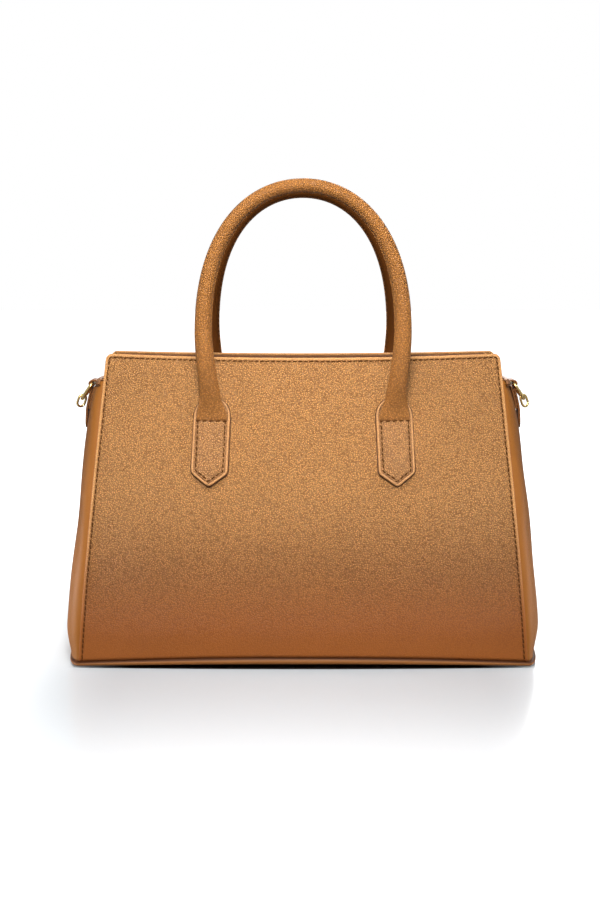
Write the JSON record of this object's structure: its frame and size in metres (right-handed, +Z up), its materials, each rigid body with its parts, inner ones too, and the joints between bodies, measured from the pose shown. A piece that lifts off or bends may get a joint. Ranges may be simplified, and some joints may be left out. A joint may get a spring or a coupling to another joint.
{
  "type": "top-handle tote bag",
  "caption": "Structured leather tote: trapezoid panels, bulging side gussets, footed base, arched tube handles on pointed tabs and hinged side rings.",
  "frame": {"origin": "on the floor under the middle of the bag, centre of the bounding box's underside", "axes": "+X to the right along the bag's width as seen from the front, +Y from the front panel to the back panel, +Z up"},
  "size_m": [0.354, 0.142, 0.3501],
  "materials": {
    "pebbled_leather": "satin",
    "smooth_leather": "satin",
    "edge_leather": "satin",
    "lining": "matte",
    "board": "matte",
    "core": "matte",
    "gold": "polished"
  },
  "bodies": {
    "bag": {"front_panel": "pebbled_leather", "back_panel": "pebbled_leather", "left_gusset": "smooth_leather", "right_gusset": "smooth_leather", "left_gusset_binding": "edge_leather", "right_gusset_binding": "edge_leather", "front_stiffener": "board", "back_stiffener": "board", "front_facing": "smooth_leather", "back_facing": "smooth_leather", "front_lining": "lining", "back_lining": "lining", "left_lining": "lining", "right_lining": "lining", "base_panel": "smooth_leather", "base_board": "board", "base_lining": "lining", "front_left_tab": "pebbled_leather", "front_right_tab": "pebbled_leather", "back_left_tab": "pebbled_leather", "back_right_tab": "pebbled_leather", "left_ring_tab": "smooth_leather", "right_ring_tab": "smooth_leather", "front_left_foot": "gold", "front_right_foot": "gold", "back_left_foot": "gold", "back_right_foot": "gold", "front_left_foot_washer": "gold", "front_right_foot_washer": "gold", "back_left_foot_washer": "gold", "back_right_foot_washer": "gold", "snap_stud": "gold", "snap_socket": "gold"},
    "front_handle": {"front_handle_cover": "pebbled_leather", "front_handle_core": "core"},
    "back_handle": {"back_handle_cover": "pebbled_leather", "back_handle_core": "core"},
    "left_ring": {"left_d_ring": "gold"},
    "right_ring": {"right_d_ring": "gold"},
    "left_link": {"left_link": "gold"},
    "right_link": {"right_link": "gold"}
  },
  "joints": [
    {"name": "front_handle_fold", "type": "hinge", "parent": "bag", "child": "front_handle", "pos_m": [0, -0.04158, 0.17814], "axis": [1, 0, 0], "range_deg": [-14, 120]},
    {"name": "back_handle_fold", "type": "hinge", "parent": "bag", "child": "back_handle", "pos_m": [0, 0.04158, 0.17814], "axis": [-1, 0, 0], "range_deg": [-14, 120]},
    {"name": "right_ring_swing", "type": "hinge", "parent": "bag", "child": "right_ring", "pos_m": [0.15754, 0, 0.201], "axis": [0, -1, 0], "range_deg": [0, 140]},
    {"name": "left_ring_swing", "type": "hinge", "parent": "bag", "child": "left_ring", "pos_m": [-0.15754, 0, 0.201], "axis": [0, 1, 0], "range_deg": [0, 140]},
    {"name": "right_link_swing", "type": "hinge", "parent": "right_ring", "child": "right_link", "pos_m": [0.16606, 0, 0.18927], "axis": [0, -1, 0], "range_deg": [-25, 75]},
    {"name": "left_link_swing", "type": "hinge", "parent": "left_ring", "child": "left_link", "pos_m": [-0.16606, 0, 0.18927], "axis": [0, 1, 0], "range_deg": [-25, 75]}
  ]
}
